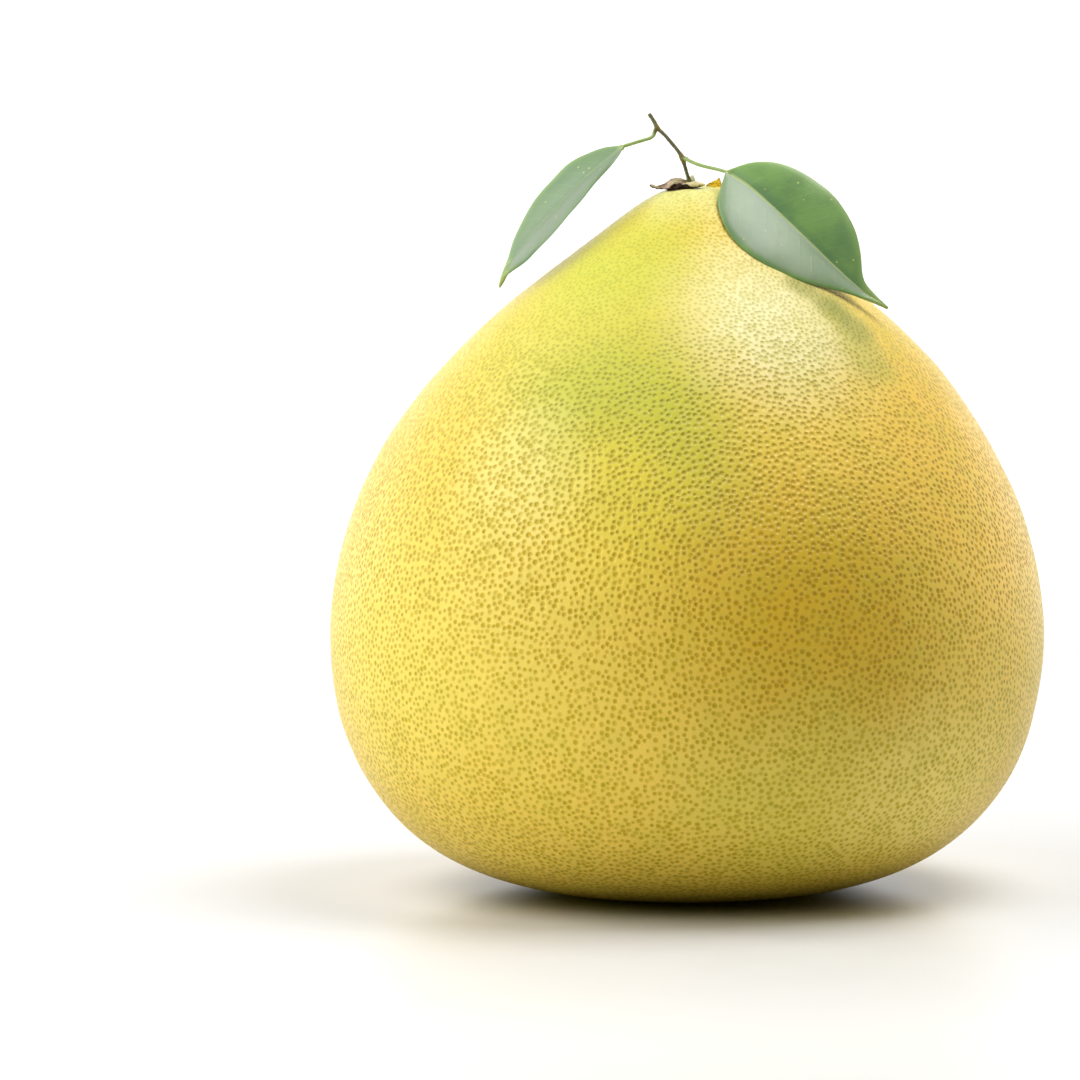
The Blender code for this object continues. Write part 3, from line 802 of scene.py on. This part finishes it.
# Each sepal: points along its middle, directions of its halves at foot, middle and tip, and its half
# widths from foot to tip, all in mm.
LEFT_SEPAL = (
    (-0.3, 0.2, 170.45), (-1.3, 0.0, 170.85), (-2.4, 0.0, 171.35), (-3.6, -0.3, 171.1), (-4.9, -0.6, 170.3),
    (-6.1, -0.8, 169.5), (-7.4, -0.8, 169.2), (-9.2, -0.7, 169.65),
)
LEFT_SEPAL_BACK = ((-0.05, 0.98, -0.20), (-0.10, 0.85, -0.52), (-0.20, 0.90, -0.35))
LEFT_SEPAL_FRONT = ((0.15, -0.85, -0.50), (-0.05, -0.62, -0.78), (-0.15, -0.90, -0.40))
LEFT_SEPAL_WIDTHS = (1.0, 1.4, 1.9, 2.1, 1.9, 1.1, 0.5, 0.25)
RIGHT_SEPAL = (
    (5.5, 2.4, 168.5), (6.0, 2.9, 168.85), (6.5, 3.4, 169.2), (7.0, 3.8, 169.7), (7.3, 4.2, 170.3),
    (7.4, 4.5, 170.9),
)
RIGHT_SEPAL_BACK = ((-0.45, 0.80, 0.10), (-0.72, 0.62, 0.20), (-0.70, 0.60, 0.20))
RIGHT_SEPAL_FRONT = ((0.50, -0.80, 0.0), (0.80, -0.58, -0.15), (0.70, -0.60, -0.20))
RIGHT_SEPAL_WIDTHS = (2.7, 2.4, 1.9, 1.3, 0.7, 0.2)
# The calyx button's middle, and its half outline from top to bottom as reach and height (mm).
CALYX_CENTRE = (0.9, 0.5)
CALYX_OUTLINE = (
    (0.0, 170.55), (0.9, 170.50), (1.5, 170.25), (2.1, 170.15), (2.7, 169.95), (2.85, 169.6), (2.5, 169.2),
    (1.6, 168.95), (0.0, 168.9),
)
# The dark shade lump's and the bud's middles and half sizes (mm), and how far the bud leans.
SHADE_LUMP_CENTRE = (-1.9, -0.9, 169.15)
SHADE_LUMP_SIZE = (2.9, 1.9, 0.95)
BUD_CENTRE = (0.85, 0.45, 170.95)
BUD_SIZE = (0.80, 0.70, 1.15)
BUD_LEAN = math.radians(14.0)
# Points along the twig with its radius at each, and the knuckles where the leaf stalks leave it (mm).
TWIG = (
    (0.45, 0.2, 169.9, 0.95), (0.2, 0.1, 170.7, 0.62), (0.0, 0.1, 171.4, 0.42), (-0.45, 0.1, 172.9, 0.40),
    (-0.95, 0.2, 174.6, 0.44), (-1.35, 0.4, 175.9, 0.68), (-2.3, 0.7, 177.5, 0.44),
    (-3.85, 1.1, 179.4, 0.43), (-5.4, 1.5, 181.2, 0.42), (-6.8, 1.9, 182.5, 0.45),
    (-7.5, 2.0, 183.3, 0.57), (-8.15, 2.2, 184.6, 0.46), (-9.4, 2.5, 186.5, 0.43),
)
KNUCKLES = ((-1.3, 0.4, 175.9), (-7.45, 2.0, 183.2))


def papery_look(name, pale, warm, rim, foot, foot_run):
    """A dried sepal: fibres along it, warm and browned blotches and a dark rim. foot_run is in mm."""
    look = Look(name)
    run, span, edge = (look.attribute(n) for n in ("run", "span", "edge"))
    blotch = look.noise(scale=620.0, detail=5.0, roughness=0.65)
    thread = look.noise(scale=1.0, detail=3.0, place=fibre_place(look, run, span))
    colour = look.mix(look.remap(blotch, 0.42, 0.58), pale, warm)
    colour = look.mix(look.remap(thread, 0.50, 0.66, 0.0, 0.75), colour, rim)
    wide = look.math("ADD", edge, look.math("ABSOLUTE", span))
    inside = look.math("DIVIDE", edge, look.remap(wide, 0.25, 1.4, 0.25, 1.0))
    near_rim = look.math("MULTIPLY_ADD", blotch, 0.8, inside)
    colour = look.mix(look.remap(near_rim, 0.72, 0.44), colour, rim)
    ruffle = look.math("MULTIPLY_ADD", blotch, 2.4, run)
    browned = look.math("MULTIPLY", look.remap(ruffle, 6.4, 7.2), look.remap(ruffle, 9.0, 8.0))
    browned = look.math("MULTIPLY", browned, look.remap(span, -1.2, 0.2, 0.25, 0.9))
    colour = look.mix(browned, colour, rim)
    colour = look.mix(look.remap(run, foot_run, foot_run * 0.3), colour, foot)
    look.put("Base Color", colour)
    look.put("Roughness", look.math("MULTIPLY_ADD", blotch, 0.25, 0.55))
    look.put("Normal", look.bump(blotch, 0.00016, look.bump(thread, 0.00012)))
    look.shader.inputs["Specular IOR Level"].default_value = 0.25
    return look


def fibre_place(look, run, span):
    """Places on a sepal, drawn out along it so that noise makes fibres."""
    node = look.tree.nodes.new("ShaderNodeCombineXYZ")
    look.feed(node.inputs["X"], look.math("MULTIPLY", run, 0.35))
    look.feed(node.inputs["Y"], look.math("MULTIPLY", span, 5.0))
    return node.outputs[0]


def build_sepals():
    mesh = blade(
        "left_sepal", (), LEFT_SEPAL, LEFT_SEPAL_FRONT, LEFT_SEPAL_BACK,
        LEFT_SEPAL_WIDTHS, LEFT_SEPAL_WIDTHS, SEPAL_SHAPE,
    )
    look = papery_look(
        "sepal_papery", pale=(0.66, 0.56, 0.32, 1.0), warm=(0.78, 0.54, 0.42, 1.0),
        rim=(0.105, 0.055, 0.018, 1.0), foot=(0.30, 0.22, 0.10, 1.0), foot_run=2.2,
    )
    add_piece("sepal_left_husk", mesh, look, "papery_brown", "sepal_left")
    mesh = blade(
        "right_sepal", (), RIGHT_SEPAL, RIGHT_SEPAL_FRONT, RIGHT_SEPAL_BACK,
        RIGHT_SEPAL_WIDTHS, RIGHT_SEPAL_WIDTHS, SEPAL_SHAPE,
    )
    look = papery_look(
        "sepal_golden", pale=(0.74, 0.50, 0.006, 1.0), warm=(0.66, 0.38, 0.006, 1.0),
        rim=(0.26, 0.13, 0.030, 1.0), foot=(0.34, 0.27, 0.015, 1.0), foot_run=1.2,
    )
    add_piece("sepal_right_husk", mesh, look, "golden_husk", "sepal_right")


def build_calyx():
    """The dried button that the fruit hangs from, with five low lobes and its underside darkened as painted
    shade.
    """
    steps = 120
    rows = 56
    outline = smooth_curve(CALYX_OUTLINE, rows)[1:-1]
    turn = np.arange(steps) * math.tau / steps
    lobes = 0.16 * np.cos(5 * turn + 0.5) + 0.03 * np.cos(13 * turn)
    radius = outline[:, :1] * (1.0 + lobes * smoothstep(outline[:, :1], 0.8, 2.6))
    x = radius * np.cos(turn) + CALYX_CENTRE[0]
    y = radius * np.sin(turn) + CALYX_CENTRE[1]
    rings = np.stack([x, y, np.broadcast_to(outline[:, 1:], radius.shape)], axis=2)
    push = 0.13 * swell_noise(rings.reshape(-1, 3), 1.3, 2.0)
    rings = rings + UPWARD * push.reshape(rings.shape[:2])[..., None]
    mesh = sweep_mesh("button", rings[::-1])
    look = Look("calyx_wood")
    place = look.place()
    spot = look.split(place)
    blotch = look.noise(scale=700.0, detail=5.0, roughness=0.65)
    crack = look.noise(scale=1500.0, detail=2.0, distortion=1.5)
    colour = look.mix(look.remap(blotch, 0.35, 0.65), (0.60, 0.50, 0.24, 1.0), (0.80, 0.71, 0.42, 1.0))
    colour = look.mix(look.remap(crack, 0.60, 0.72, 0.0, 0.7), colour, (0.20, 0.12, 0.045, 1.0))
    # Painted shade: the button's underside darkens nearly to black.
    low = look.math("MULTIPLY_ADD", blotch, 0.0006, spot["Z"])
    colour = look.mix(look.remap(low, 0.16995, 0.16945), colour, (0.045, 0.024, 0.008, 1.0))
    look.put("Base Color", colour)
    look.put("Roughness", look.math("MULTIPLY_ADD", blotch, 0.2, 0.62))
    look.put("Normal", look.bump(crack, 0.00009, look.bump(blotch, 0.00012)))
    add_piece("calyx_button", mesh, look, "dry_husk", "calyx")


def globe_angles(rows, steps, polar_gap):
    """Angles down from the top, as a column, and round the axis, as a row."""
    tall = np.linspace(polar_gap, math.pi - polar_gap, rows)[:, None]
    turn = (np.arange(steps) * math.tau / steps)[None]
    return tall, turn


def build_shade_lump():
    """A dark, low, ragged lump under the left sepal: painted shade given as a solid, coloured nearly black.
    """
    steps = 110
    rows = 40
    tall, turn = globe_angles(rows, steps, 0.03)
    ragged = 1.0 + 0.10 * np.cos(7 * turn + 1.0) + 0.06 * np.cos(11 * turn)
    x = SHADE_LUMP_SIZE[0] * np.sin(tall) * np.cos(turn) * ragged + SHADE_LUMP_CENTRE[0]
    y = SHADE_LUMP_SIZE[1] * np.sin(tall) * np.sin(turn) * ragged + SHADE_LUMP_CENTRE[1]
    z = SHADE_LUMP_SIZE[2] * np.cos(tall) + SHADE_LUMP_CENTRE[2] + 0.10 * x
    rings = np.stack([x, y, z], axis=2)
    flat = rings.reshape(-1, 3)
    push = 0.28 * swell_noise(flat, 1.1, 12.0) + 0.10 * swell_noise(flat, 3.2, 14.0)
    rings = rings + UPWARD * push.reshape(rings.shape[:2])[..., None]
    mesh = sweep_mesh("shade_lump", rings[::-1])
    look = Look("calyx_painted_shade")
    blotch = look.noise(scale=800.0, detail=5.0, roughness=0.65)
    share = look.remap(blotch, 0.45, 0.70)
    # Painted shade: the lump is coloured nearly black.
    colour = look.mix(share, (0.016, 0.008, 0.003, 1.0), (0.085, 0.045, 0.014, 1.0))
    look.put("Base Color", colour)
    look.put("Roughness", look.math("MULTIPLY_ADD", blotch, 0.2, 0.7))
    look.put("Normal", look.bump(blotch, 0.00020))
    look.shader.inputs["Specular IOR Level"].default_value = 0.12
    add_piece("calyx_shade_lump", mesh, look, "dry_husk")


def build_bud():
    """The small pale nub at the foot of the twig, narrower at the top and leaning right."""
    steps = 64
    rows = 44
    tall, turn = globe_angles(rows, steps, 0.02)
    lobes = 1.0 + 0.10 * np.cos(3 * turn + 0.4) * np.sin(tall)
    taper = 1.0 - 0.32 * np.cos(tall)
    x = BUD_SIZE[0] * np.sin(tall) * np.cos(turn) * lobes * taper
    y = BUD_SIZE[1] * np.sin(tall) * np.sin(turn) * lobes * taper
    z = BUD_SIZE[2] * np.cos(tall) - 0.12
    leant_x = x * math.cos(BUD_LEAN) + z * math.sin(BUD_LEAN)
    leant_z = z * math.cos(BUD_LEAN) - x * math.sin(BUD_LEAN)
    rings = np.stack([leant_x + BUD_CENTRE[0], y + BUD_CENTRE[1], leant_z + BUD_CENTRE[2]], axis=2)
    flat = rings.reshape(-1, 3)
    rings = rings + 0.03 * swell_noise(flat, 3.0, 4.0).reshape(rings.shape[:2])[..., None]
    mesh = sweep_mesh("nub", rings[::-1])
    look = Look("bud_skin")
    place = look.place()
    blotch = look.noise(scale=1300.0, detail=4.0)
    colour = look.mix(look.remap(blotch, 0.3, 0.7), (0.58, 0.62, 0.34, 1.0), (0.76, 0.78, 0.54, 1.0))
    height = look.math("MULTIPLY_ADD", blotch, 0.0006, look.split(place)["Z"])
    colour = look.mix(look.remap(height, 0.1711, 0.1706), colour, (0.24, 0.25, 0.06, 1.0))
    look.put("Base Color", colour)
    look.put("Roughness", look.math("MULTIPLY_ADD", blotch, 0.2, 0.45))
    look.put("Normal", look.bump(blotch, 0.00006))
    add_piece("bud_nub", mesh, look, "bud_green", "bud")


def build_twig():
    """The woody twig, with shallow ridges that turn slowly round it."""
    steps = 28
    rows = 260
    path = through_curve(TWIG, np.linspace(0.0, 1.0, rows))
    middles, radius = path[:, :3], path[:, 3:]
    along = unit(np.gradient(middles, axis=0))
    side = unit(np.cross(along, np.array([0.0, 1.0, 0.0])))
    other = np.cross(along, side)
    turn = np.arange(steps) * math.tau / steps
    out = side[:, None] * np.cos(turn)[None, :, None] + other[:, None] * np.sin(turn)[None, :, None]
    rings = middles[:, None] + out * radius[..., None]
    flat = rings.reshape(-1, 3)
    stretched = flat * np.array([2.2, 2.2, 0.8])
    rough = 0.055 * swell_noise(stretched, 1.0, 1.0) + 0.025 * swell_noise(flat, 5.0, 6.0)
    twist = 0.35 * np.arange(rows)[:, None] / rows * 12
    ridge = 0.035 * np.cos(5 * turn[None] + twist)
    rings = rings + out * (rough.reshape(rings.shape[:2]) + ridge)[..., None]
    mesh = sweep_mesh("stem", rings)
    look = Look("twig_bark")
    place = look.place()
    node = look.tree.nodes.new("ShaderNodeMapping")
    node.inputs["Scale"].default_value = (1.0, 1.0, 0.30)
    look.feed(node.inputs["Vector"], place)
    streak = look.noise(scale=2600.0, detail=4.0, place=node.outputs[0])
    blotch = look.noise(scale=520.0, detail=4.0)
    colour = look.mix(look.remap(streak, 0.3, 0.7), (0.070, 0.066, 0.014, 1.0), (0.140, 0.140, 0.040, 1.0))
    colour = look.mix(look.remap(blotch, 0.5, 0.75, 0.0, 0.6), colour, (0.135, 0.160, 0.035, 1.0))
    for knuckle in KNUCKLES:
        away = look.vector("DISTANCE", place, tuple(c * MM for c in knuckle))
        colour = look.mix(look.remap(away, 0.0016, 0.0006, 0.0, 0.85), colour, (0.235, 0.165, 0.012, 1.0))
    end = look.vector("DISTANCE", place, tuple(c * MM for c in TWIG[-1][:3]))
    colour = look.mix(look.remap(end, 0.0007, 0.0004, 0.0, 0.7), colour, (0.26, 0.20, 0.10, 1.0))
    look.put("Base Color", colour)
    look.put("Roughness", look.math("MULTIPLY_ADD", blotch, 0.2, 0.5))
    look.put("Normal", look.bump(streak, 0.00006))
    add_piece("twig_stem", mesh, look, "bark", "twig")


# ---------------------------------------------------------------- put together

add_camera()
bpy.context.scene.view_settings.view_transform = "Standard"
add_world()
# Each light: direction from the fruit, distance, width and height (m), and power (W).
add_softbox("overhead", (0.36, 0.08, 0.93), 0.85, 0.58, 0.52, 6.3)
add_softbox("left", (-0.76, -0.49, 0.43), 0.80, 0.50, 0.60, 3.7)
add_softbox("upper_left", (-0.70, 0.06, 0.70), 0.80, 0.36, 0.36, 1.7)
add_softbox("back_left", (-0.75, 0.62, 0.30), 0.90, 0.60, 0.60, 0.9)
add_softbox("right", (0.92, 0.36, 0.30), 0.95, 0.45, 0.60, 0.1)
add_floor()
build_fruit()
build_calyx()
build_shade_lump()
build_sepals()
build_bud()
build_twig()
build_leaves()
